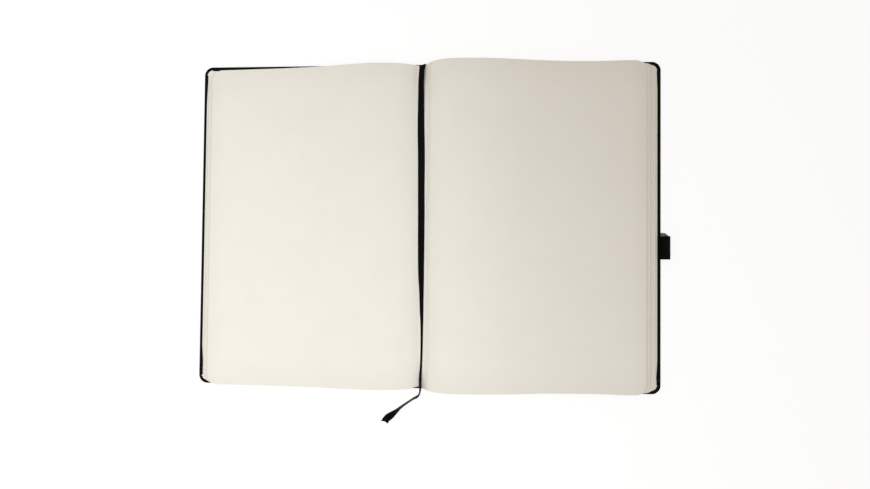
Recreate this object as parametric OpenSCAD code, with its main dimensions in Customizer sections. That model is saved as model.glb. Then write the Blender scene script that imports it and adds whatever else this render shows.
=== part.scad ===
// Opened notebook: hard cover in black imitation leather, blank cream pages lying open in two
// stacks, a ribbon marker in the gutter and an elastic pen loop on the back cover.
// X points to the back cover, Y to the head of the pages, Z up. The origin is the middle of the
// spine's underside. The notebook lies flat on its cover.

/* [Cover] */
// Height of the cover from tail to head
cover_h = 210; // [190:1:230]
// Distance from the middle of the spine to a cover's outer edge
cover_reach = 149; // [140:1:170]
// Radius of the cover's outer corners
cover_corner_r = 5.6; // [4:0.1:8]
// Thickness of the cover boards and of the spine board
board_t = 2; // [1.8:0.1:3]
// Thickness of the imitation leather
skin_t = 0.4; // [0.3:0.05:0.6]
// Width of imitation leather that shows round the endpapers
turn_in = 1.6; // [1.4:0.1:2.6]

/* [Spine] */
// Width of the spine board
spine_w = 18; // [17:0.5:22]
// Width of the groove between the spine board and a cover board
groove_w = 6; // [5.5:0.1:8]
// Distance from a hinge line to the cut edge of the imitation leather on each side of it
fold_clear = 0.35; // [0.35:0.05:0.6]
// Depth of imitation leather turned in over the head and tail of the spine
spine_turn_in = 9; // [6:0.5:14]

/* [Endpapers] */
// Thickness of a pasted-down endpaper with its glue
endpaper_t = 0.4; // [0.2:0.05:0.4]

/* [Pages] */
// Height of the pages from tail to head
page_h = 205.6; // [180:0.1:206]
// Distance from a page block's lowest leaf to the cover's outer edge
fore_square = 2.2; // [2:0.1:6]
// Offset of the pages towards the head
page_shift = -0.5; // [-0.5:0.1:0.5]
// Radius of the pages' corners
page_corner_r = 5; // [3:0.1:8]
// Middle of the gutter, measured from the middle of the spine
gutter_x = -2.1; // [-3:0.1:1]
// Width of the gutter's floor
gutter_w = 5; // [4.9:0.1:6]
// Height of the gutter's floor over the cover
gutter_h = 4; // [3:0.1:6]
// Thickness of the left stack at its fore-edge
left_stack_h = 5.2; // [4:0.1:7]
// Height of the left stack's arch
left_arch_h = 12.8; // [10:0.1:14]
// Distance of the left arch from the gutter
left_arch_x = 30; // [26:1:40]
// Distance that the left stack's top leaf lies in from its lowest leaf
left_bevel = 6; // [3:0.5:9]
// Thickness of the right stack at its fore-edge
right_stack_h = 10.2; // [8:0.1:12]
// Height of the right stack's arch
right_arch_h = 17.9; // [15:0.1:18]
// Distance of the right arch from the gutter
right_arch_x = 24; // [20:1:30]
// Height of the shallow dip in the right stack
right_dip_h = 9.9; // [7:0.1:12]
// Distance of the dip from the gutter
right_dip_x = 105; // [95:1:110]
// Distance that the right stack's top leaf lies in from its lowest leaf
right_bevel = 9.9; // [5:0.1:14]

/* [Ribbon marker] */
// Width of the ribbon
ribbon_w = 4.6; // [3:0.1:4.6]
// Thickness of the ribbon
ribbon_t = 0.3; // [0.2:0.05:0.4]

/* [Pen loop] */
// Width of the elastic band
loop_w = 14.5; // [10:0.5:20]
// Thickness of the elastic band
loop_t = 0.6; // [0.5:0.05:0.8]
// Outer radius of the loop
loop_r = 3.75; // [3.7:0.05:4]
// Distance that the loop stands out from the cover
loop_reach = 6.3; // [6.2:0.1:7]
// Height of the loop's middle over the table
loop_z = 4; // [4:0.1:5]
// Middle of the loop along the cover
loop_y = -13; // [-60:1:60]
// Length of the glued tail inside the cover
loop_tail = 12; // [8:1:20]
// Gap on each side of the tail in its recess
tail_gap = 0.1; // [0.05:0.05:0.3]

/* [Hidden] */
$fn = 64;

black = [0.07, 0.07, 0.075];
grey_board = [0.55, 0.52, 0.48];
cream = [0.92, 0.90, 0.85];
cloth = [0.85, 0.84, 0.80];

curve_steps = 10;
overrun = 1;

// the hinge lines run along Y in the middle of each groove, halfway through the leather
hinge_x = spine_w / 2 + groove_w / 2;
board_in = spine_w / 2 + groove_w;
board_top = skin_t + board_t;
inner_z = board_top + max(skin_t, endpaper_t);
stack_space = inner_z + max(left_arch_h, right_arch_h) + overrun;

// the ribbon's route: x, y, z of its middle and its turn about its own line, 0 lying flat
ribbon_route = [
    [-2.2, 102.7, 2.8, 0],
    [-2.2, 102.7, 6.6, 0],
    [-2.2, 102.2, 7.3, 0],
    [-2.3, 101, 7.4, 0],
    [-2.4, 88, 8.9, 45],
    [-2.3, 65, 8.1, 24],
    [-2.2, 45, 7.1, 0],
    [-2.2, 20, 7.1, 0],
    [-2.1, -2, 8.1, 25],
    [-2, -29, 8.7, 40],
    [-1.6, -47, 9.1, 58],
    [-1.3, -70, 9.3, 72],
    [-1.3, -83, 9.4, 77],
    [-1.5, -93, 9.3, 72],
    [-1.8, -102, 9.35, 70],
    [-2.1, -106, 8.75, 76],
    [-3.3, -109, 7.3, 80],
    [-6.6, -111.8, 5.6, 80],
    [-10.4, -114.6, 4, 78],
    [-14.3, -117.6, 2.7, 64],
    [-17.8, -120.6, 1.7, 40],
    [-21, -123.4, 0.7, 12],
    [-23.8, -125.8, 0.3, 0],
    [-25.9, -128.5, 0.2, 0],
];

// Plan of one cover: a rectangle with its two outer corners rounded, shrunk by inset there.
module cover_plan(from_x, inset, r) {
    far = cover_reach - inset;
    half = cover_h / 2 - inset;
    round_r = max(r - inset, 0.5);
    union() {
        translate([from_x, -half]) square([far - round_r - from_x, 2 * half]);
        translate([from_x, -half + round_r]) square([far - from_x, 2 * (half - round_r)]);
        for (side = [-1, 1])
            translate([far - round_r, side * (half - round_r)]) circle(r = round_r);
    }
}

// A shape drawn in X and Z, drawn out along Y about its middle.
module along_y(length, middle = 0) {
    translate([0, middle + length / 2, 0]) rotate([90, 0, 0]) linear_extrude(length) children();
}

// The space of the glued tail of the pen loop, grown by gap on its long sides.
module tail_space(gap, out) {
    translate([cover_reach - loop_tail, loop_y - loop_w / 2 - gap, board_top - 2 * loop_t])
        cube([loop_tail + out, loop_w + 2 * gap, 2 * loop_t]);
}

module cover_board() {
    translate([0, 0, skin_t]) linear_extrude(board_t)
        cover_plan(board_in, skin_t, cover_corner_r);
}

// Imitation leather under the board, round its outer edges and turned in on top of it.
module cover_skin() {
    union() {
        linear_extrude(skin_t) cover_plan(hinge_x + fold_clear, 0, cover_corner_r);
        linear_extrude(board_top) difference() {
            cover_plan(board_in, 0, cover_corner_r);
            cover_plan(board_in - overrun, skin_t, cover_corner_r);
        }
        translate([0, 0, board_top]) linear_extrude(skin_t) difference() {
            cover_plan(board_in, 0, cover_corner_r);
            cover_plan(board_in - overrun, turn_in, cover_corner_r);
        }
    }
}

module pasted_endpaper() {
    translate([0, 0, board_top]) linear_extrude(endpaper_t)
        cover_plan(board_in, turn_in, cover_corner_r);
}

// A smooth curve through the points p, with steps straight pieces between each two.
function bend(a, b, c, d, t) = 0.5 * (2 * b + (c - a) * t + (2 * a - 5 * b + 4 * c - d) * t * t
    + (3 * b - a - 3 * c + d) * t * t * t);
function through(p, steps) = let (last = len(p) - 1) concat(
    [for (i = [0 : last - 1]) for (s = [0 : steps - 1])
        bend(p[max(i - 1, 0)], p[i], p[i + 1], p[min(i + 2, last)], s / steps)],
    [p[last]]);

// Upper faces of the two stacks, from the gutter to the fore-edge: distance from the gutter's
// middle, and height over the cover.
left_far = cover_reach - fore_square + gutter_x;
right_far = cover_reach - fore_square - gutter_x;

// Points between the gutter's edge and the top of the arch: distance from the edge, and share of
// the rise.
left_rise = [[3.6, 0.5], [8, 0.75]];
right_rise = [[2, 0.45], [5, 0.69], [11.5, 0.92]];
// Points beyond the top of the arch: distance from it, and share of the fall that follows.
left_fall = [[20, 0.25], [40, 0.62], [66, 0.83]];
right_fall = [[24, 0.17], [53, 0.72]];
// Low swell of the right stack between its dip and its fore-edge
right_swell = 0.6;

function rise_to(arch_h, points) = [for (p = points)
    [gutter_w / 2 + p[0], gutter_h + p[1] * (arch_h - gutter_h)]];
function fall_from(arch_x, arch_h, low, points) = [for (p = points)
    [arch_x + p[0], arch_h - p[1] * (arch_h - low)]];

left_top = concat(
    [[gutter_w / 2, gutter_h]],
    rise_to(left_arch_h, left_rise),
    [[left_arch_x, left_arch_h]],
    fall_from(left_arch_x, left_arch_h, left_stack_h, left_fall),
    [[left_far - left_bevel, left_stack_h]]);
right_top = concat(
    [[gutter_w / 2, gutter_h]],
    rise_to(right_arch_h, right_rise),
    [[right_arch_x, right_arch_h]],
    fall_from(right_arch_x, right_arch_h, right_dip_h, right_fall),
    [[right_dip_x, right_dip_h],
     [(right_dip_x + right_far) / 2, (right_dip_h + right_stack_h) / 2 + right_swell],
     [right_far - right_bevel, right_stack_h]]);

// One stack of leaves, from the middle of the gutter to the fore-edge, drawn towards +X.
module stack(top, middle, far) {
    intersection() {
        translate([middle, 0, inner_z]) along_y(page_h, page_shift)
            polygon(concat([[0, 0], [0, gutter_h]], through(top, curve_steps), [[far, 0]]));
        translate([middle, page_shift, 0]) linear_extrude(stack_space) union() {
            translate([-overrun, -page_h / 2])
                square([far - page_corner_r + overrun, page_h]);
            translate([-overrun, -page_h / 2 + page_corner_r])
                square([far + overrun, page_h - 2 * page_corner_r]);
            for (side = [-1, 1])
                translate([far - page_corner_r, side * (page_h / 2 - page_corner_r)])
                    circle(r = page_corner_r);
        }
    }
}

// Rings of the ribbon: a flat eight-sided section turned about the route.
function unit(v) = v / norm(v);
function spot(k) = [ribbon_route[k][0], ribbon_route[k][1], ribbon_route[k][2]];
function heading(k) = unit(spot(min(k + 1, len(ribbon_route) - 1)) - spot(max(k - 1, 0)));
// the ribbon's width runs along X in the gutter, and swings round with the route outside it
steep = 0.9;
function level(k) = let (h = heading(k))
    abs(h[2]) > steep ? [1, 0, 0] : unit([-h[1], h[0], 0]);
function across(k) = let (h = heading(k), flat = level(k), a = ribbon_route[k][3])
    flat * cos(a) + cross(h, flat) * sin(a);
ribbon_section = [for (s = [[-1, -0.3], [-1, 0.3], [-0.9, 1], [0.9, 1], [1, 0.3], [1, -0.3],
    [0.9, -1], [-0.9, -1]]) [s[0] * ribbon_w / 2, s[1] * ribbon_t / 2]];
function ribbon_ring(k) = let (side = unit(across(k)), rise = unit(cross(heading(k), side)))
    [for (s = ribbon_section) spot(k) + side * s[0] + rise * s[1]];

module back_board() color(grey_board) difference() {
    cover_board();
    tail_space(tail_gap, overrun);
}

module back_covering() color(black) difference() {
    cover_skin();
    tail_space(tail_gap, overrun);
}

module back_endpaper() color(cream) pasted_endpaper();

module right_pages() color(cream) stack(right_top, gutter_x, right_far);

module pen_loop() color(black) union() {
    tail_space(0, loop_t);
    loop_x = cover_reach + loop_reach - loop_r;
    along_y(loop_w, loop_y) difference() {
        intersection() {
            translate([loop_x, loop_z]) circle(r = loop_r);
            translate([cover_reach, 0]) square([loop_reach + overrun, 4 * loop_r]);
        }
        intersection() {
            translate([loop_x, loop_z]) circle(r = loop_r - loop_t);
            translate([cover_reach + loop_t, 0]) square([loop_reach, 4 * loop_r]);
        }
    }
}

module spine_board() color(grey_board)
    translate([-spine_w / 2, -cover_h / 2 + skin_t, skin_t])
        cube([spine_w, cover_h - 2 * skin_t, board_t]);

module spine_covering() color(black) union() {
    reach = hinge_x - fold_clear;
    translate([-reach, -cover_h / 2, 0]) cube([2 * reach, cover_h, skin_t]);
    for (side = [-1, 1]) {
        translate([-spine_w / 2, side * (cover_h - skin_t) / 2 - skin_t / 2, 0])
            cube([spine_w, skin_t, board_top]);
        translate([-spine_w / 2, side * (cover_h - spine_turn_in) / 2 - spine_turn_in / 2, board_top])
            cube([spine_w, spine_turn_in, skin_t]);
    }
}

module spine_lining() color(cloth)
    translate([-spine_w / 2, -cover_h / 2 + spine_turn_in, board_top])
        cube([spine_w, cover_h - 2 * spine_turn_in, inner_z - board_top]);

module ribbon_marker() color(black) {
    sides = len(ribbon_section);
    rings = len(ribbon_route);
    polyhedron(
        points = [for (k = [0 : rings - 1]) each ribbon_ring(k)],
        faces = concat(
            [[for (i = [sides - 1 : -1 : 0]) i]],
            [for (k = [0 : rings - 2]) for (i = [0 : sides - 1])
                let (j = (i + 1) % sides, here = k * sides, next = here + sides)
                each [[here + i, here + j, next + j], [here + i, next + j, next + i]]],
            [[for (i = [0 : sides - 1]) (rings - 1) * sides + i]]));
}

module front_board() color(grey_board) mirror([1, 0, 0]) cover_board();

module front_covering() color(black) mirror([1, 0, 0]) cover_skin();

module front_endpaper() color(cream) mirror([1, 0, 0]) pasted_endpaper();

module left_pages() color(cream) mirror([1, 0, 0]) stack(left_top, -gutter_x, left_far);

back_board();
back_covering();
back_endpaper();
right_pages();
pen_loop();
spine_board();
spine_covering();
spine_lining();
ribbon_marker();
front_board();
front_covering();
front_endpaper();
left_pages();
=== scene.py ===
import math
import random

import bmesh
import bpy
import numpy as np
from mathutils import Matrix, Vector


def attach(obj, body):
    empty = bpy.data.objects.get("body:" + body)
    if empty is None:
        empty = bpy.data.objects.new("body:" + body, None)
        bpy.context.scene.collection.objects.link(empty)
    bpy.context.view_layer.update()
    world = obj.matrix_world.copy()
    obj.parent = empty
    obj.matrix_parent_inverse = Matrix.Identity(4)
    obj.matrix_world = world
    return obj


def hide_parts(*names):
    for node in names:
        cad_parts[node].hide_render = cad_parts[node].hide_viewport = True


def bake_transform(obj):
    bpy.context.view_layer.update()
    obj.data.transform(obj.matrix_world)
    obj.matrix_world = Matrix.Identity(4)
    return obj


# An opened hardcover notebook: black imitation leather, blank cream pages in two stacks, a ribbon
# marker in the gutter and an elastic pen loop. Lengths are millimetres until a piece is finished.
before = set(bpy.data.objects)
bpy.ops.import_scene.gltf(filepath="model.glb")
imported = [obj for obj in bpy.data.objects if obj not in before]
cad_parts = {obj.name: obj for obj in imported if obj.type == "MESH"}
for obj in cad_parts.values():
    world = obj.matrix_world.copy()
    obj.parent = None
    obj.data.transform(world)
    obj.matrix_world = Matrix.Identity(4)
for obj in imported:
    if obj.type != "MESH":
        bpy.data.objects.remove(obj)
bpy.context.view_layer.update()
scene = bpy.context.scene
MM = 0.001
chance = random.Random(7)

# Camera, fitted to the four corners of the open cover
PHOTO_WIDTH, PHOTO_HEIGHT = 870, 489
FOCAL_PIXELS = 480
SENSOR = 36
CAMERA_PLACE = (24.66, -18.43, 313.48)
CAMERA_TURN = (0.020212, 0.057288, 0.0098)

camera_data = bpy.data.cameras.new("camera")
camera_data.sensor_fit = "HORIZONTAL"
camera_data.sensor_width = SENSOR
camera_data.lens = SENSOR * FOCAL_PIXELS / PHOTO_WIDTH
camera_data.clip_start = 0.005
camera = bpy.data.objects.new("camera", camera_data)
camera.location = [c * MM for c in CAMERA_PLACE]
camera.rotation_euler = CAMERA_TURN
scene.collection.objects.link(camera)
scene.camera = camera

LEFT, RIGHT = -1, 1

# Sizes that more than one piece uses, the same as in the part's source
COVER_H = 210         # height of the covers
COVER_REACH = 149     # from the middle of the spine to the fore-edge of a cover
COVER_CORNER = 5.6    # radius of the covers' corners
TURN_IN = 1.6         # leather that shows round the endpapers
RIM = 2.8             # height of the inner face of a cover
SPINE_HALF = 9        # from the middle of the spine to the edge of its board
HINGE_X = 12          # hinge line, in the middle of the groove
BOARD_IN = 15         # inner edge of the cover's board
GUTTER_X = -2.1       # middle of the gutter


# ---- helpers for modelling ----
def start():
    """Leaves edit mode and selects nothing."""
    if bpy.context.mode != "OBJECT":
        bpy.ops.object.mode_set(mode="OBJECT")
    bpy.ops.object.select_all(action="DESELECT")


def new_piece(name, points, faces):
    """A piece from points and faces."""
    start()
    mesh = bpy.data.meshes.new(name)
    mesh.from_pydata([tuple(p) for p in points], [], faces)
    mesh.update()
    made = bpy.data.objects.new(name, mesh)
    scene.collection.objects.link(made)
    bpy.context.view_layer.objects.active = made
    made.select_set(True)
    return made


def primitive(name, add, lengths, place):
    """A primitive of those side lengths at that place, named, with nothing else selected."""
    start()
    add(size=1, location=place)
    made = bpy.context.object
    made.name = made.data.name = name
    made.scale = lengths
    bpy.ops.object.transform_apply(location=True, rotation=True, scale=True)
    return made


def edit(piece):
    """Opens one piece in edit mode."""
    start()
    piece.select_set(True)
    bpy.context.view_layer.objects.active = piece
    bpy.ops.object.mode_set(mode="EDIT")


def pick(piece, kind, test):
    """Selects the vertices, edges or faces that pass the test."""
    bpy.ops.mesh.select_mode(type=kind)
    bpy.ops.mesh.select_all(action="DESELECT")
    mesh = bmesh.from_edit_mesh(piece.data)
    for part in {"VERT": mesh.verts, "EDGE": mesh.edges, "FACE": mesh.faces}[kind]:
        if test(part):
            part.select_set(True)
    bmesh.update_edit_mesh(piece.data)


def slice_at(places, axis):
    """Cuts the whole mesh across at each place along an axis."""
    normal = [0, 0, 0]
    normal[axis] = 1
    for place in places:
        bpy.ops.mesh.select_all(action="SELECT")
        bpy.ops.mesh.bisect(plane_co=[place * n for n in normal], plane_no=normal)


def outward():
    """Merges doubles and turns all faces outwards."""
    bpy.ops.mesh.select_all(action="SELECT")
    bpy.ops.mesh.remove_doubles(threshold=0.0005)
    bpy.ops.mesh.normals_make_consistent(inside=False)


def points_of(piece):
    """The places of all vertices, one row each."""
    co = np.empty(len(piece.data.vertices) * 3)
    piece.data.vertices.foreach_get("co", co)
    return co.reshape(-1, 3)


def set_points(piece, co):
    """Moves all vertices to these places."""
    piece.data.vertices.foreach_set("co", np.asarray(co, np.float32).ravel())
    piece.data.update()


def apply_modifiers(piece):
    """Turns what the modifiers make into the mesh itself."""
    start()
    piece.select_set(True)
    bpy.context.view_layer.objects.active = piece
    for modifier in list(piece.modifiers):
        bpy.ops.object.modifier_apply(modifier=modifier.name)


def finish_piece(piece, material, sharp=35):
    """To metres, with smooth faces up to an angle and a material."""
    start()
    piece.select_set(True)
    bpy.context.view_layer.objects.active = piece
    piece.scale = (MM, MM, MM)
    bpy.ops.object.transform_apply(location=True, rotation=True, scale=True)
    bpy.ops.object.shade_smooth_by_angle(angle=math.radians(sharp))
    piece.data.materials.clear()
    piece.data.materials.append(material)
    return piece


def smooth_line(points, steps):
    """A smooth curve through the points, with steps pieces between each two."""
    p = np.array(points, float)
    p = np.vstack([p[:1], p, p[-1:]])
    made = []
    for k in range(1, len(p) - 2):
        a, b, c, d = p[k - 1:k + 3]
        for t in np.arange(steps) / steps:
            made.append(0.5 * (2 * b + (c - a) * t + (2 * a - 5 * b + 4 * c - d) * t**2
                               + (3 * b - a - 3 * c + d) * t**3))
    return np.array(made + [p[-1]])


# ---- materials ----
def colour(hex_code, alpha=1):
    """sRGB hex to linear."""
    made = []
    for k in (0, 2, 4):
        c = int(hex_code[k:k + 2], 16) / 255
        made.append(c / 12.92 if c <= 0.04045 else ((c + 0.055) / 1.055)**2.4)
    return (*made, alpha)


def new_material(name):
    """An empty node tree and its material."""
    made = bpy.data.materials.new(name)
    made.use_nodes = True
    made.node_tree.nodes.clear()
    return made.node_tree, made


def node(tree, kind, values=None, **settings):
    """Adds a node with its settings; a value for a socket is a number, a colour or an output."""
    made = tree.nodes.new(kind)
    for key, value in settings.items():
        setattr(made, key, value)
    for key, value in (values or {}).items():
        if isinstance(value, bpy.types.NodeSocket):
            tree.links.new(value, made.inputs[key])
        else:
            made.inputs[key].default_value = value
    return made


def paper(name, light, dark):
    """Uncoated book paper, calendered smooth: matt, a faint cloudy formation and fine tooth.
    On the cut edges, painted shade in the gaps between the leaves shows as fine darker lines,
    drawn 0.2 mm apart, which is two real leaves."""
    tree, made = new_material(name)
    place = node(tree, "ShaderNodeTexCoord").outputs["Object"]
    cloud = node(tree, "ShaderNodeTexNoise", {"Vector": place, "Scale": 55, "Detail": 3})
    tooth = node(tree, "ShaderNodeTexNoise", {"Vector": place, "Scale": 2600, "Detail": 2})
    leaf = node(tree, "ShaderNodeAttribute", attribute_name="leaf").outputs["Fac"]
    count = node(tree, "ShaderNodeMath", {0: leaf, 1: 1.7}, operation="MULTIPLY").outputs[0]
    lines = node(tree, "ShaderNodeTexNoise", {"W": count, "Scale": 1.0, "Detail": 3},
                 noise_dimensions="1D")
    share = node(tree, "ShaderNodeMapRange", {"Value": cloud.outputs["Fac"], "From Min": 0.3,
                                              "From Max": 0.7, "To Min": 0.0, "To Max": 0.07})
    base = node(tree, "ShaderNodeMixRGB", {"Fac": share.outputs[0], "Color1": colour(light),
                                           "Color2": colour(dark)})
    # painted shade in the gaps between leaves: darker lines, on the cut edges only
    gap_shade = node(tree, "ShaderNodeMapRange", {"Value": lines.outputs["Fac"], "From Min": 0.42,
                                              "From Max": 0.62, "To Min": 0.0, "To Max": 0.35})
    edge = node(tree, "ShaderNodeAttribute", attribute_name="cut_edge").outputs["Fac"]
    amount = node(tree, "ShaderNodeMath", {0: gap_shade.outputs[0], 1: edge}, operation="MULTIPLY")
    final = node(tree, "ShaderNodeMixRGB", {"Fac": amount.outputs[0], "Color1": base.outputs[0],
                                            "Color2": colour(dark)})
    bump = node(tree, "ShaderNodeBump", {"Height": tooth.outputs["Fac"], "Strength": 0.12,
                                         "Distance": 0.00006})
    skin = node(tree, "ShaderNodeBsdfPrincipled", {
        "Base Color": final.outputs[0], "Roughness": 0.86, "IOR": 1.46,
        "Specular IOR Level": 0.25, "Normal": bump.outputs[0]})
    node(tree, "ShaderNodeOutputMaterial", {"Surface": skin.outputs[0]})
    return made


def imitation_leather():
    """Polyurethane-coated cover cloth, embossed with a fine pebble grain about 0.7 mm across:
    near black, with a painted sheen on the tops of the grain and painted shade in its valleys."""
    tree, made = new_material("polyurethane_imitation_leather_embossed")
    place = node(tree, "ShaderNodeTexCoord").outputs["Object"]
    wander = node(tree, "ShaderNodeTexNoise", {"Vector": place, "Scale": 700, "Detail": 2})
    shifted = node(tree, "ShaderNodeMixRGB", {"Fac": 0.0009, "Color1": place,
                                              "Color2": wander.outputs["Color"]},
                   blend_type="ADD")
    grain = node(tree, "ShaderNodeTexVoronoi", {"Vector": shifted.outputs[0], "Scale": 1350},
                 feature="DISTANCE_TO_EDGE")
    pebble = node(tree, "ShaderNodeMapRange", {"Value": grain.outputs["Distance"], "From Min": 0.0,
                                               "From Max": 0.28}, interpolation_type="SMOOTHSTEP")
    cloud = node(tree, "ShaderNodeTexNoise", {"Vector": place, "Scale": 25, "Detail": 3})
    # painted sheen and shade: the tops of the grain are coloured lighter and its valleys darker
    tone = node(tree, "ShaderNodeMixRGB", {"Fac": pebble.outputs[0], "Color1": colour("040405"),
                                           "Color2": colour("0b0a0c")})
    gloss = node(tree, "ShaderNodeMapRange", {"Value": cloud.outputs["Fac"], "From Min": 0.3,
                                              "From Max": 0.7, "To Min": 0.48, "To Max": 0.56})
    bump = node(tree, "ShaderNodeBump", {"Height": pebble.outputs[0], "Strength": 0.5,
                                         "Distance": 0.00012})
    skin = node(tree, "ShaderNodeBsdfPrincipled", {
        "Base Color": tone.outputs[0], "Roughness": gloss.outputs[0], "IOR": 1.5,
        "Specular IOR Level": 0.08, "Normal": bump.outputs[0]})
    node(tree, "ShaderNodeOutputMaterial", {"Surface": skin.outputs[0]})
    return made


def satin_ribbon():
    """Woven viscose satin: long floats give a soft sheen, with fine ribs across every 0.35 mm,
    drawn a little coarser than the real 0.2 mm so that they show."""
    tree, made = new_material("viscose_ribbon_satin_woven")
    run = node(tree, "ShaderNodeUVMap", uv_map="along")
    ribs = node(tree, "ShaderNodeTexWave", {"Vector": run.outputs[0], "Scale": 450,
                                            "Distortion": 0.6}, bands_direction="X")
    tone = node(tree, "ShaderNodeMixRGB", {"Fac": ribs.outputs["Fac"],
                                           "Color1": colour("040305"), "Color2": colour("0a090d")})
    bump = node(tree, "ShaderNodeBump", {"Height": ribs.outputs["Fac"], "Strength": 0.4,
                                         "Distance": 0.00006})
    skin = node(tree, "ShaderNodeBsdfPrincipled", {
        "Base Color": tone.outputs[0], "Roughness": 0.45, "IOR": 1.5, "Specular IOR Level": 0.05,
        "Normal": bump.outputs[0]})
    node(tree, "ShaderNodeOutputMaterial", {"Surface": skin.outputs[0]})
    return made


def woven_elastic():
    """Woven polyester elastic: matt ribs along the band, crossed by short stitches. Where its
    inner face can be seen it is coloured light grey, a painted sheen of the light on the loop's
    back."""
    tree, made = new_material("polyester_elastic_woven")
    run = node(tree, "ShaderNodeUVMap", uv_map="along")
    stitches = node(tree, "ShaderNodeTexBrick", {
        "Vector": run.outputs[0], "Scale": 1000, "Mortar Size": 0.12, "Mortar Smooth": 0.8,
        "Brick Width": 0.9, "Row Height": 0.45, "Color1": colour("0e0d11"),
        "Color2": colour("09080b"), "Mortar": colour("030304")})
    # painted sheen: where the loop's inner face can be seen it is coloured light grey
    sheen_mask = node(tree, "ShaderNodeAttribute", attribute_name="painted_sheen_face").outputs["Fac"]
    tone = node(tree, "ShaderNodeMixRGB", {"Fac": sheen_mask, "Color1": stitches.outputs["Color"],
                                           "Color2": colour("8b8a8e")})
    bump = node(tree, "ShaderNodeBump", {"Height": stitches.outputs["Fac"], "Strength": 0.5,
                                         "Distance": 0.00012}, invert=True)
    skin = node(tree, "ShaderNodeBsdfPrincipled", {
        "Base Color": tone.outputs[0], "Roughness": 0.72, "IOR": 1.5,
        "Specular IOR Level": 0.08, "Sheen Weight": 0.02, "Sheen Roughness": 0.5,
        "Normal": bump.outputs[0]})
    node(tree, "ShaderNodeOutputMaterial", {"Surface": skin.outputs[0]})
    return made


def grey_board():
    """Recycled grey board, rolled: dull, with dark and light fibre specks."""
    tree, made = new_material("recycled_grey_board_rolled")
    place = node(tree, "ShaderNodeTexCoord").outputs["Object"]
    specks = node(tree, "ShaderNodeTexNoise", {"Vector": place, "Scale": 1500, "Detail": 4})
    tone = node(tree, "ShaderNodeMixRGB", {"Fac": specks.outputs["Fac"],
                                           "Color1": colour("8b857b"), "Color2": colour("b5aea2")})
    skin = node(tree, "ShaderNodeBsdfPrincipled", {"Base Color": tone.outputs[0],
                                                   "Roughness": 0.95})
    node(tree, "ShaderNodeOutputMaterial", {"Surface": skin.outputs[0]})
    return made


def lining_cloth():
    """Starched open cotton gauze, woven: threads 0.6 mm apart."""
    tree, made = new_material("cotton_gauze_woven")
    place = node(tree, "ShaderNodeTexCoord").outputs["Object"]
    weave = node(tree, "ShaderNodeTexChecker", {"Vector": place, "Scale": 1650})
    tone = node(tree, "ShaderNodeMixRGB", {"Fac": weave.outputs["Fac"],
                                           "Color1": colour("d8d3c5"), "Color2": colour("c3bdad")})
    skin = node(tree, "ShaderNodeBsdfPrincipled", {"Base Color": tone.outputs[0],
                                                   "Roughness": 0.95})
    node(tree, "ShaderNodeOutputMaterial", {"Surface": skin.outputs[0]})
    return made


leather = imitation_leather()
page_paper = paper("uncoated_book_paper_calendered", "f0ede5", "d2ccbc")
end_paper = paper("uncoated_endpaper_calendered", "f0ede5", "d5cfc0")
ribbon_satin = satin_ribbon()
elastic = woven_elastic()
board = grey_board()
gauze = lining_cloth()

# ---- ribbon marker: a flat satin cord from the head of the spine down the gutter ----
RIBBON_W = 4.6
RIBBON_T = 0.26
RIBBON_STEPS = 4
# x, y, z of its middle and its turn in degrees about its own line: over the head of the pages,
# flat in the gutter, tucked into the fold on the way down, then on its edge round to the left
RIBBON_ROUTE = [
    (-2.2, 102.7, 2.8, 0), (-2.2, 102.7, 7, 0), (-1.9, 102.5, 9.3, 8), (-1.9, 101.8, 10.6, 24),
    (-2.2, 99, 10.9, 34), (-2.5, 95, 10.9, 34), (-2.8, 88, 10.5, 24), (-2.55, 65, 10.3, 12),
    (-2.0, 45, 10.5, 12), (-1.75, 20, 10.4, 12), (-1.65, -2, 10.5, 19), (-1.65, -29, 10.4, 22),
    (-1.6, -45, 10, 32), (-1.5, -60, 9.7, 38), (-1.65, -79, 9.45, 41), (-1.9, -92, 9.4, 47),
    (-1.65, -98, 10.4, 57), (-1.3, -102, 11.3, 66), (-1.75, -106, 9.9, 77),
    (-3.2, -108.9, 7.7, 86), (-6.3, -111.3, 5.7, 87), (-10.2, -114.4, 4, 86),
    (-14.1, -117.6, 2.9, 80), (-17.6, -120.9, 2.3, 62), (-20.6, -123.5, 1.5, 34),
    (-23.4, -125.7, 0.5, 8), (-25.4, -128.6, 0.2, 0)]
# across the ribbon: share of its half width, and share of its half thickness
RIBBON_SECTION = [(-1, 0), (-0.95, 0.9), (-0.5, 1), (0, 1), (0.5, 1), (0.95, 0.9), (1, 0),
                  (0.95, -0.9), (0.5, -1), (0, -1), (-0.5, -1), (-0.95, -0.9)]
# swallow-tail cut: how far the end reaches on, by the place across
TAIL_CUT = ((-1, 0.6), (0, -0.95), (1, -0.4))


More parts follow.
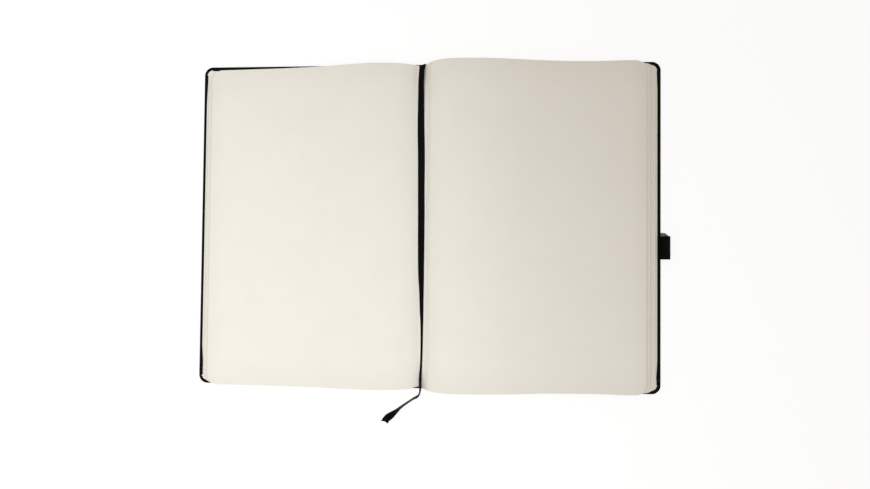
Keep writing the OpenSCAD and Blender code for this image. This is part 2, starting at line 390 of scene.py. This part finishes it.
def ribbon_marker():
    """The ribbon: its section set square to the route at each step, turned, and closed."""
    route = smooth_line(RIBBON_ROUTE, RIBBON_STEPS)
    middle, turn = route[:, :3], np.radians(route[:, 3])
    points = []
    along = np.gradient(middle, axis=0)
    along /= np.linalg.norm(along, axis=1)[:, None]
    flat = np.stack([-along[:, 1], along[:, 0], 0 * turn], axis=1)
    flat[np.abs(along[:, 2]) > 0.8] = (1, 0, 0)
    flat /= np.linalg.norm(flat, axis=1)[:, None]
    side = flat * np.cos(turn)[:, None] + np.cross(along, flat) * np.sin(turn)[:, None]
    rise = np.cross(along, side)
    last = len(middle) - 1
    for k in range(len(middle)):
        for across, up in RIBBON_SECTION:
            cut = np.interp(across, *zip(*TAIL_CUT)) if k == last else 0
            points.append(middle[k] + side[k] * across * RIBBON_W / 2
                          + rise[k] * up * RIBBON_T / 2 + along[k] * cut)
    count = len(RIBBON_SECTION)
    faces = [[k * count + i, k * count + (i + 1) % count, (k + 1) * count + (i + 1) % count,
              (k + 1) * count + i] for k in range(last) for i in range(count)]
    faces += [[0, 11, 1], [1, 11, 10, 2], [2, 10, 9, 3], [3, 9, 8, 4], [4, 8, 7, 5], [5, 7, 6]]
    faces += [[last * count + i for i in reversed(face)] for face in faces[-6:]]
    made = new_piece("ribbon", points, faces)
    edit(made)
    outward()
    start()
    run = np.concatenate([[0], np.cumsum(np.linalg.norm(np.diff(middle, axis=0), axis=1))])
    layer = made.data.uv_layers.new(name="along")
    for corner in made.data.loops:
        k, i = divmod(corner.vertex_index, count)
        layer.data[corner.index].uv = (run[k] * MM, RIBBON_SECTION[i][0] * RIBBON_W / 2 * MM)
    finish_piece(made, ribbon_satin, 60)
    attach(made, "spine")
    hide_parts("ribbon_marker")
    return made


ribbon_marker()

# ---- pages: flat bundles of leaves, cut and rounded, then bent over the arch ----
# A stack's upper face: distance from the gutter's middle, and height over the cover
LEFT_TOP = [(0, 6.7), (1.5, 7), (2.4, 7.4), (4, 8.2), (6.1, 9.2), (10.5, 10.8), (16, 11.9),
            (30, 12.8), (50, 10.9), (70, 8.09), (96, 6.49), (138.7, 5.2)]
RIGHT_TOP = [(0, 6.7), (1.2, 7.3), (2.4, 8.1), (3.8, 9.3), (5, 11), (7.5, 13.59), (14, 16.79),
             (24, 17.9), (48, 16.54), (77, 12.14), (105, 9.9), (126.95, 10.65), (139, 10.2)]
TOP_STEPS = 8
PAGE_H = 205.6
PAGE_SHIFT = -0.5 # the pages lie a little nearer to the tail of the covers
PAGE_CORNER = 6.4
CORNER_STEPS = 8
PAGE_STRIPS = 13  # strips of faces from the head to the tail
LEAF = 0.34       # pitch of the modelled leaves at the fore-edge; a real leaf is a third of it
RIDGE = 0.09      # how far a leaf's edge stands out from the groove to the next
UNEVEN = 0.1      # how far the leaves lie out of line
EDGE_LOOSE = 1.2  # how much more than that at the fore-edge
JOINED_AT = 46    # beyond this distance from the gutter the leaves lie straight over each other
SLIDE = 40        # length over which the leaves are drawn to their own fore-edge
SLIDE_REST = 5    # straight length between that and the rounded corners
FIRM = 12         # length from the gutter over which the leaves are held in line
FOLD_REACH = 40   # how far from the gutter the fold of the left leaves is felt
FOLD_SHORT = 0.25 # how far the left leaves draw back from the head and tail at the fold
LEAN = 0.0108     # how far the fold of the left leaves leaves the gutter's line, towards the head
ASKEW = 0.0085    # how far the left leaves lie turned towards the tail
TAIL_DIP = 1.1    # how far the leaves draw back at the tail of the gutter, where leather shows
DIP_POWER = 6     # how closely that keeps to the tail
DIP_REACH = {LEFT: 8, RIGHT: 4}
# thickness of each stack at the fore-edge, its upper face, the body of its cover and its node
STACKS = {
    LEFT: (5.2, LEFT_TOP, "front_cover", "left_pages"),
    RIGHT: (10.2, RIGHT_TOP, "back_cover", "right_pages"),
}
# Bundles of leaves from the cover up: name, lowest and highest share of the stack, where their
# lowest and highest leaves end (x), and the x where they begin and end to bend with the spine.
BUNDLES = [
    ("left_leaves_low", LEFT, 0.0, 0.36, 146.8, 144.9, 20, 4),
    ("left_leaves_middle", LEFT, 0.36, 0.70, 144.5, 143.1, 28, -2),
    ("left_leaves_high", LEFT, 0.70, 1.0, 142.5, 140.8, 34, -3),
    ("right_leaves_low", RIGHT, 0.0, 0.30, 146.0, 145.2, 20, 6),
    ("right_leaves_middle", RIGHT, 0.30, 0.54, 145.1, 144.1, 28, 0),
    ("right_leaves_high", RIGHT, 0.54, 0.80, 142.1, 139.7, 38, -5),
    ("right_leaves_top", RIGHT, 0.80, 1.0, 139.1, 136.9, 46, -8),
]


def leaf_lines(side):
    """How the leaves of one stack run: a function from the length along a leaf and its share of
    the stack to distance from the gutter and height, and one from a distance to a length."""
    thick, top, _, _ = STACKS[side]
    line = np.vstack([[(0, 0)], smooth_line(top, TOP_STEPS)])
    run = np.concatenate([[0], np.cumsum(np.linalg.norm(np.diff(line, axis=0), axis=1))])
    joined = float(np.interp(JOINED_AT, line[:, 0], run))
    curl = joined / (JOINED_AT - thick)

    def place(length, share):
        far = np.maximum(length - run[-1], 0)
        high_d = np.interp(length, run, line[:, 0]) + far
        high_z = np.interp(length, run, line[:, 1])
        near = np.clip(length / joined, 0, 1)
        low_d = np.where(length < joined, thick + (JOINED_AT - thick) * near**curl, high_d)
        return low_d + (high_d - low_d) * share, high_z * share

    def length_at(distance):
        beyond = max(distance - line[-1, 0], 0)
        return float(np.interp(distance, line[:, 0], run)) + beyond

    return run, place, length_at


def leaf_bundle(name, side, low, high, low_end, high_end, bend_from, bend_to):
    """A flat sheet with rounded corners, extruded into leaves with a groove between each two,
    each leaf drawn back to its own fore-edge, and the whole laid over the arch."""
    thick, _, cover, stack_node = STACKS[side]
    run, place, length_at = leaf_lines(side)
    low_length = length_at(low_end - side * GUTTER_X)
    high_length = length_at(high_end - side * GUTTER_X)
    leaves = max(2, round((high - low) * thick / LEAF))
    half = PAGE_H / 2
    block = primitive(name, bpy.ops.mesh.primitive_plane_add, (low_length, PAGE_H, 1),
                      (low_length / 2, 0, 0))
    edit(block)
    pick(block, "VERT", lambda v: v.co.x > low_length - 1)
    bpy.ops.mesh.bevel(offset=PAGE_CORNER, segments=CORNER_STEPS, affect="VERTICES")
    slice_at([q for q in run if 0.2 < q < low_length - PAGE_CORNER - 1], 0)
    slice_at(np.linspace(-half, half, PAGE_STRIPS + 1)[1:-1], 1)
    bpy.ops.mesh.select_all(action="SELECT")
    for _ in range(2 * leaves):
        bpy.ops.mesh.extrude_region_move(TRANSFORM_OT_translate={"value": (0, 0, 1)})
    outward()
    start()

    co = points_of(block)
    x, y, ring = co[:, 0], co[:, 1], np.rint(co[:, 2]).astype(int)
    # outwards in plan: to the head or tail, to the fore-edge, or away from a corner's middle
    to_corner = np.stack([x - (low_length - PAGE_CORNER), np.abs(y) - (half - PAGE_CORNER)], 1)
    in_corner = (to_corner > 0).all(1)
    reach = np.hypot(*to_corner.T)
    on_edge = np.where(in_corner, reach > PAGE_CORNER - 0.05,
                       (np.abs(y) > half - 0.01) | (x > low_length - 0.01))
    away = np.stack([x > low_length - 0.01, np.abs(y) > half - 0.01], 1).astype(float)
    away[in_corner] = to_corner[in_corner] / reach[in_corner, None]
    groove = (ring % 2 == 0) * RIDGE * on_edge
    loose = np.array([(chance.uniform(-UNEVEN, UNEVEN), chance.uniform(-UNEVEN, UNEVEN))
                      for _ in range(leaves + 1)])[ring // 2]
    share = low + (high - low) * ring / (2 * leaves)
    # each leaf is drawn back to its own fore-edge, without stretching its rounded corners
    grip = np.clip((x - (low_length - PAGE_CORNER - SLIDE_REST - SLIDE)) / SLIDE, 0, 1)
    grip = grip * grip * (3 - 2 * grip)
    back = (low_length - high_length) * ring / (2 * leaves) - loose[:, 0] * EDGE_LOOSE
    length = x - back * grip - groove * away[:, 0]
    tight = np.clip(x / FIRM, 0, 1)
    deep = y - np.sign(y) * groove * away[:, 1] + loose[:, 1] * on_edge * tight
    distance, height = place(length, share)
    at_tail = np.clip(-y / half, 0, 1)**DIP_POWER
    deep += TAIL_DIP * np.clip(1 - distance / DIP_REACH[side], 0, 1) * at_tail
    if side == LEFT:
        near = 1 - np.clip(distance / FOLD_REACH, 0, 1)
        deep = deep * (1 - FOLD_SHORT / half * near) - ASKEW * distance
        distance = distance + LEAN * y * near * np.clip(distance / 2, 0, 1)
    set_points(block, np.stack([GUTTER_X + side * distance, deep + PAGE_SHIFT, RIM + height], 1))
    leaf = block.data.attributes.new("leaf", "FLOAT", "POINT")
    leaf.data.foreach_set("value", (share * thick / LEAF).astype(np.float32))
    cut = block.data.attributes.new("cut_edge", "FLOAT", "POINT")
    cut.data.foreach_set("value", on_edge.astype(np.float32))
    edit(block)
    outward()
    finish_piece(block, page_paper, 38)
    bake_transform(block)
    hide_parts(stack_node)
    return block


for bundle in BUNDLES:
    leaf_bundle(*bundle)


# ---- covers: imitation leather wrapped round the boards ----
PROUD_X = {LEFT: 0.2, RIGHT: 0.6}   # how far the wrapped leather stands out past the CAD cover
PROUD_Y = 0.35
SKIN = 0.4        # thickness of the leather
OUTER_ROUND = 1.0 # rounding of the outer edge
RIM_ROUND = 0.4   # rounding of the edge where the leather turns in
UNDER_SHEET = 3   # how far the leather runs on under the endpaper
SHEET_STEP = 0.3  # how far it is pressed down there
PLEATS = 4        # pleats of the leather round each corner
PLEAT_H = 0.12
# where the flat pieces are cut across, closest together in the groove
SPINE_CUTS = [4, 8, SPINE_HALF, 9.6]
COVER_CUTS = [10.3, 11.1, HINGE_X, 12.9, 13.7, 14.4, BOARD_IN, 16, 20, 40, 70, 100, 125]
CUTS_ALONG = [-80, -50, -20, 0, 20, 50, 80]


def groove_share(x):
    """1 in the middle of the groove between the boards, running out softly to 0 at its edges."""
    share = np.clip(1 - np.abs(x - HINGE_X) / (BOARD_IN - HINGE_X), 0, 1)
    return share * share * (3 - 2 * share)


def to_front(piece):
    """Mirrors a piece that was drawn for the back cover."""
    set_points(piece, points_of(piece) * (-1, 1, 1))
    edit(piece)
    bpy.ops.mesh.select_all(action="SELECT")
    bpy.ops.mesh.flip_normals()
    start()


def covering(side, cover, nodes):
    """Half of the covering, from the middle of the spine to the fore-edge, drawn towards +X."""
    name = f"{cover}_leather"
    reach = COVER_REACH + PROUD_X[side]
    half = COVER_H / 2 + PROUD_Y
    made = primitive(name, bpy.ops.mesh.primitive_cube_add, (reach, 2 * half, RIM),
                     (reach / 2, 0, RIM / 2))
    edit(made)
    pick(made, "EDGE", lambda e: all(v.co.x > reach - 0.1 for v in e.verts)
         and abs(e.verts[0].co.z - e.verts[1].co.z) > 1)
    bpy.ops.mesh.bevel(offset=COVER_CORNER, segments=12, affect="EDGES")
    pick(made, "FACE", lambda f: f.normal.x < -0.9)
    bpy.ops.mesh.delete(type="FACE")

    def rim_edge(e, z):
        return all(abs(v.co.z - z) < 0.01 for v in e.verts) and len(e.link_faces) == 2

    pick(made, "EDGE", lambda e: rim_edge(e, 0))
    bpy.ops.mesh.bevel(offset=OUTER_ROUND, segments=5, affect="EDGES")
    pick(made, "EDGE", lambda e: rim_edge(e, RIM))
    bpy.ops.mesh.bevel(offset=RIM_ROUND, segments=3, affect="EDGES")
    # the turned-in leather: what shows, then what runs on under the endpaper
    pick(made, "FACE", lambda f: f.normal.z > 0.99 and f.calc_area() > 1000)
    bpy.ops.mesh.inset(thickness=TURN_IN + PROUD_Y - RIM_ROUND, use_boundary=False)
    bpy.ops.mesh.inset(thickness=UNDER_SHEET, use_boundary=False)
    bpy.ops.mesh.delete(type="FACE")
    slice_at(SPINE_CUTS + COVER_CUTS, 0)
    slice_at(CUTS_ALONG, 1)
    start()
    co = points_of(made)
    x, y, z = co.T
    # the leather sinks into the groove between the boards
    sunk = groove_share(x)
    z = z * (1 - 0.62 * sunk) + 0.65 * sunk
    # the turned-in leather is gathered in pleats round the corners
    from_corner = np.stack([x - (reach - COVER_CORNER), np.abs(y) - (half - COVER_CORNER)])
    turn = np.arctan2(from_corner[1], from_corner[0])
    wave = np.cos(turn * 2 * PLEATS / (math.pi / 2) * math.pi) * (from_corner > -0.5).all(0)
    radius = np.hypot(*from_corner)
    gathered = wave * (radius < COVER_CORNER - 0.3) * (z > 2.7)
    z = z + PLEAT_H * gathered
    inset = np.minimum(reach - x, half - np.abs(y)) - PROUD_Y
    z = np.where((inset > TURN_IN + 0.3) & (z > 2) & (x > BOARD_IN),
                 z - SHEET_STEP, z)
    set_points(made, np.stack([x, y, z], 1))
    wall = made.modifiers.new("wall", "SOLIDIFY")
    wall.thickness = SKIN
    wall.offset = -1
    wall.use_even_offset = True
    apply_modifiers(made)
    if side == LEFT:
        to_front(made)
    finish_piece(made, leather, 40)
    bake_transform(made)
    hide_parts(*nodes)
    return made


covering(RIGHT, "back_cover", ["back_covering", "spine_covering"])
covering(LEFT, "front_cover", ["front_covering", "spine_covering"])


# ---- endpapers: each pasted over the turned-in leather and on across the groove ----
SHEET_FROM = 9.4   # where it begins, beside the spine's board
SHEET_T = 0.25
SHEET_SINK = 0.5   # how far it sinks into the groove
SHEET_ROUND = 0.4  # how much larger its corners are than those of the turned-in leather


def endpaper(side, cover, cad_node):
    """A sheet with rounded outer corners that follows the groove."""
    reach = COVER_REACH - TURN_IN
    made = primitive(f"{cover}_endpaper", bpy.ops.mesh.primitive_plane_add,
                     (reach - SHEET_FROM, COVER_H - 2 * TURN_IN, 1),
                     ((reach + SHEET_FROM) / 2, 0, RIM - SHEET_T))
    edit(made)
    pick(made, "VERT", lambda v: v.co.x > reach - 0.1)
    bpy.ops.mesh.bevel(offset=COVER_CORNER - TURN_IN + SHEET_ROUND, segments=CORNER_STEPS,
                        affect="VERTICES")
    slice_at(COVER_CUTS, 0)
    slice_at(CUTS_ALONG, 1)
    start()
    co = points_of(made)
    set_points(made, co - SHEET_SINK * groove_share(co[:, 0])[:, None] * (0, 0, 1))
    wall = made.modifiers.new("wall", "SOLIDIFY")
    wall.thickness = SHEET_T
    wall.offset = 1
    apply_modifiers(made)
    if side == LEFT:
        to_front(made)
    finish_piece(made, end_paper)
    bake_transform(made)
    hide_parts(cad_node)
    return made


endpaper(RIGHT, "back_cover", "back_endpaper")
endpaper(LEFT, "front_cover", "front_endpaper")

# ---- pen loop: a band of woven elastic, its tail glued in under the endpaper ----
# x and z of the band's middle line, and how far it lies askew towards the head
LOOP_LINE = [(139, 1.9, 0), (144, 1.95, 0), (148, 2.1, 0), (149.3, 2.9, 0), (150, 4.9, 0),
             (151, 6.5, 0), (152.2, 7.1, 0.05), (153.4, 6.4, 0.1), (154, 4.9, 0.15),
             (154.1, 3.3, 0.2), (153.7, 2.0, 0.9), (152.8, 1.0, 2.15), (151.6, 0.65, 2.4),
             (149.8, 1.0, 2.4), (148.6, 1.35, 2.4), (144, 1.4, 2.4), (139, 1.35, 2.4)]
LOOP_MIDDLE = (152, 3.9)
LOOP_W = 14.5
LOOP_Y = -13.3    # middle of the band's width
LOOP_T = 0.5
LOOP_STEPS = 3
LOOP_RIBS = 18    # ridges along the band
LOOP_RIDGE = 0.05
CUTS_PER_RIB = 4
# the painted sheen: x and z between which the inner face can be seen and is coloured grey
SHEEN_FROM, SHEEN_BELOW = 149.5, 2.4   # x and z between which the inner face can be seen


def pen_loop():
    """The band: an edge drawn along the line, thickened, with ridges along it."""
    line = smooth_line(LOOP_LINE, LOOP_STEPS)
    run = np.concatenate([[0], np.cumsum(np.hypot(*np.diff(line[:, :2], axis=0).T))])
    made = primitive("pen_loop_band", bpy.ops.mesh.primitive_plane_add, (0.5, LOOP_W, 1),
                     (line[0, 0], LOOP_Y, line[0, 1]))
    edit(made)
    pick(made, "VERT", lambda v: v.co.x < line[0, 0])
    bpy.ops.mesh.delete(type="VERT")
    pick(made, "EDGE", lambda e: True)
    bpy.ops.mesh.subdivide(number_cuts=CUTS_PER_RIB * LOOP_RIBS - 1)
    for step in np.diff(line, axis=0):
        bpy.ops.mesh.extrude_region_move(
            TRANSFORM_OT_translate={"value": (step[0], step[2], step[1])})
    start()
    wall = made.modifiers.new("wall", "SOLIDIFY")
    wall.thickness = LOOP_T
    wall.offset = 0
    apply_modifiers(made)
    # the nearest place on the line tells how far along and across the band each point is
    co = points_of(made)
    near = np.hypot(co[:, 0, None] - line[:, 0], co[:, 2, None] - line[:, 1]).argmin(1)
    across = co[:, 1] - (LOOP_Y) - line[near, 2]
    normals = np.array([v.normal[:] for v in made.data.vertices])
    ridge = LOOP_RIDGE * np.cos(2 * math.pi * LOOP_RIBS * across / LOOP_W)
    set_points(made, co + normals * (ridge * (np.abs(across) < LOOP_W / 2 - 0.2))[:, None])
    from_middle = np.hypot(*(line[near, :2] - LOOP_MIDDLE).T)
    # painted sheen: only the part of the inner face that can be seen is marked to be coloured grey
    inside = ((np.hypot(*(co[:, [0, 2]] - LOOP_MIDDLE).T) < from_middle)
              & (co[:, 0] > SHEEN_FROM) & (co[:, 2] < SHEEN_BELOW))
    sheen_mask = made.data.attributes.new("painted_sheen_face", "FLOAT", "POINT")
    sheen_mask.data.foreach_set("value", inside.astype(np.float32))
    layer = made.data.uv_layers.new(name="along")
    for corner in made.data.loops:
        k = corner.vertex_index
        layer.data[corner.index].uv = (run[near[k]] * MM, across[k] * MM)
    finish_piece(made, elastic, 60)
    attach(made, "back_cover")
    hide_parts("pen_loop")
    return made


pen_loop()

# ---- finishes of the CAD nodes that stay ----
for name, material, slot in (("back_board", board, "board"), ("front_board", board, "board"),
                             ("spine_board", board, "board"), ("spine_lining", gauze, "lining")):
    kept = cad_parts[name]
    kept.data.materials.clear()
    kept.data.materials.append(material)

# ---- floor, world and lamp ----
FLOOR_GLOW = 1.08   # the camera sees this much white in the floor, mixed with the lit paint
GLOW_SHARE = 0.78
ROOM_LIGHT = 0.58   # strength of the light from all round; the camera sees the room white
FLOOR_DROP = 0.0002 # how far the floor lies under the notebook, so that the two don't mix

floor = primitive("floor", bpy.ops.mesh.primitive_plane_add, (8, 8, 1), (0, 0, -FLOOR_DROP))
tree, floor_material = new_material("matt_white_table_painted")
rays = node(tree, "ShaderNodeLightPath")
white = node(tree, "ShaderNodeEmission", {"Color": (1, 1, 1, 1), "Strength": FLOOR_GLOW})
matt = node(tree, "ShaderNodeBsdfDiffuse", {"Color": colour("f4f4f4")})
seen = node(tree, "ShaderNodeMath", {0: rays.outputs["Is Camera Ray"], 1: GLOW_SHARE},
            operation="MULTIPLY")
mixed = node(tree, "ShaderNodeMixShader", {0: seen.outputs[0], 1: matt.outputs[0],
                                           2: white.outputs[0]})
node(tree, "ShaderNodeOutputMaterial", {"Surface": mixed.outputs[0]})
floor.data.materials.append(floor_material)

world = bpy.data.worlds.new("studio")
scene.world = world
world.use_nodes = True
tree = world.node_tree
tree.nodes.clear()
rays = node(tree, "ShaderNodeLightPath")
seen = rays.outputs["Is Camera Ray"]
level = node(tree, "ShaderNodeMapRange", {"Value": seen, "To Min": ROOM_LIGHT, "To Max": 1})
tint = node(tree, "ShaderNodeMixRGB", {"Fac": seen, "Color1": colour("fff9f2"),
                                       "Color2": (1, 1, 1, 1)})
sky = node(tree, "ShaderNodeBackground", {"Color": tint.outputs[0],
                                          "Strength": level.outputs[0]})
node(tree, "ShaderNodeOutputWorld", {"Surface": sky.outputs[0]})


def lamp(name, place, aim, size, watts, tint):
    """A round soft lamp, aimed at a place."""
    data = bpy.data.lights.new(name, "AREA")
    data.shape = "DISK"
    data.size = size
    data.energy = watts
    data.color = colour(tint)[:3]
    made = bpy.data.objects.new(name, data)
    made.location = place
    made.rotation_euler = (Vector(aim) - Vector(place)).to_track_quat("-Z", "Y").to_euler()
    scene.collection.objects.link(made)
    return made


# over the notebook and turned away to the lower left, so that the light falls off to the right
lamp("softbox", place=(-0.15, -0.11, 0.5), aim=(-0.6, -0.36, 0), size=0.7, watts=2.0,
     tint="f8fbff")

scene.view_settings.view_transform = "Standard"
